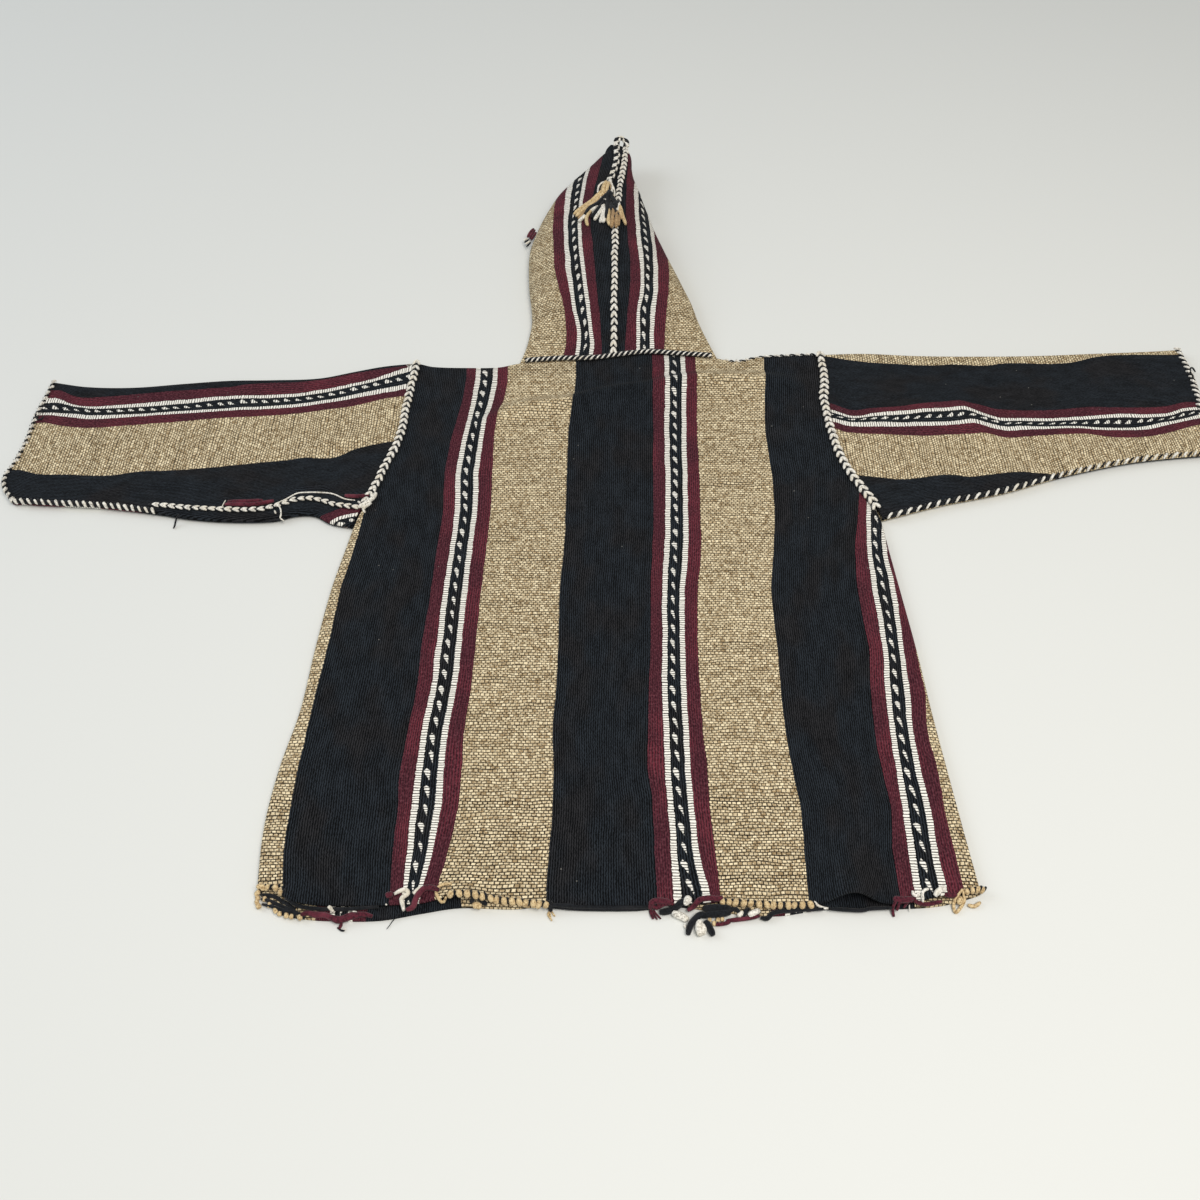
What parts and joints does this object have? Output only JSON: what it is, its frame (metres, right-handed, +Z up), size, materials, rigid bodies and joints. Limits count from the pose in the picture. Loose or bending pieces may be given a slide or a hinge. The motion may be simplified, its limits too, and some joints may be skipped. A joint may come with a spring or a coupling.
{
  "type": "hooded pullover laid flat",
  "caption": "Hand-woven striped wool pullover with pointed hood and tassel, laid flat on its front; body tube, flat sleeves, hood with face opening beneath, plaited seams.",
  "frame": {"origin": "on the flat underside of the front layer, in the middle of the body", "axes": "+X across the garment towards the sleeve on the right seen from above, +Y from the hem to the hood, +Z up from the surface it lies on"},
  "size_m": [1.3294, 1.1142, 0.0541],
  "materials": {
    "black_wool": "matte warp-faced wool with tan, maroon and white stripes",
    "braid_yarn": "matte plaited black and white wool yarn",
    "tassel_yarn": "matte wool yarn in tan, white and black"
  },
  "bodies": {
    "root": {"body": "black_wool", "sleeve_left": "black_wool", "sleeve_right": "black_wool", "hood": "black_wool", "armhole_braid_left": "braid_yarn", "armhole_braid_right": "braid_yarn", "sleeve_seam_braid": "braid_yarn", "neck_braid": "braid_yarn", "hood_seam_braid": "braid_yarn", "tip_cord": "braid_yarn", "tassel": "tassel_yarn"}
  },
  "joints": []
}
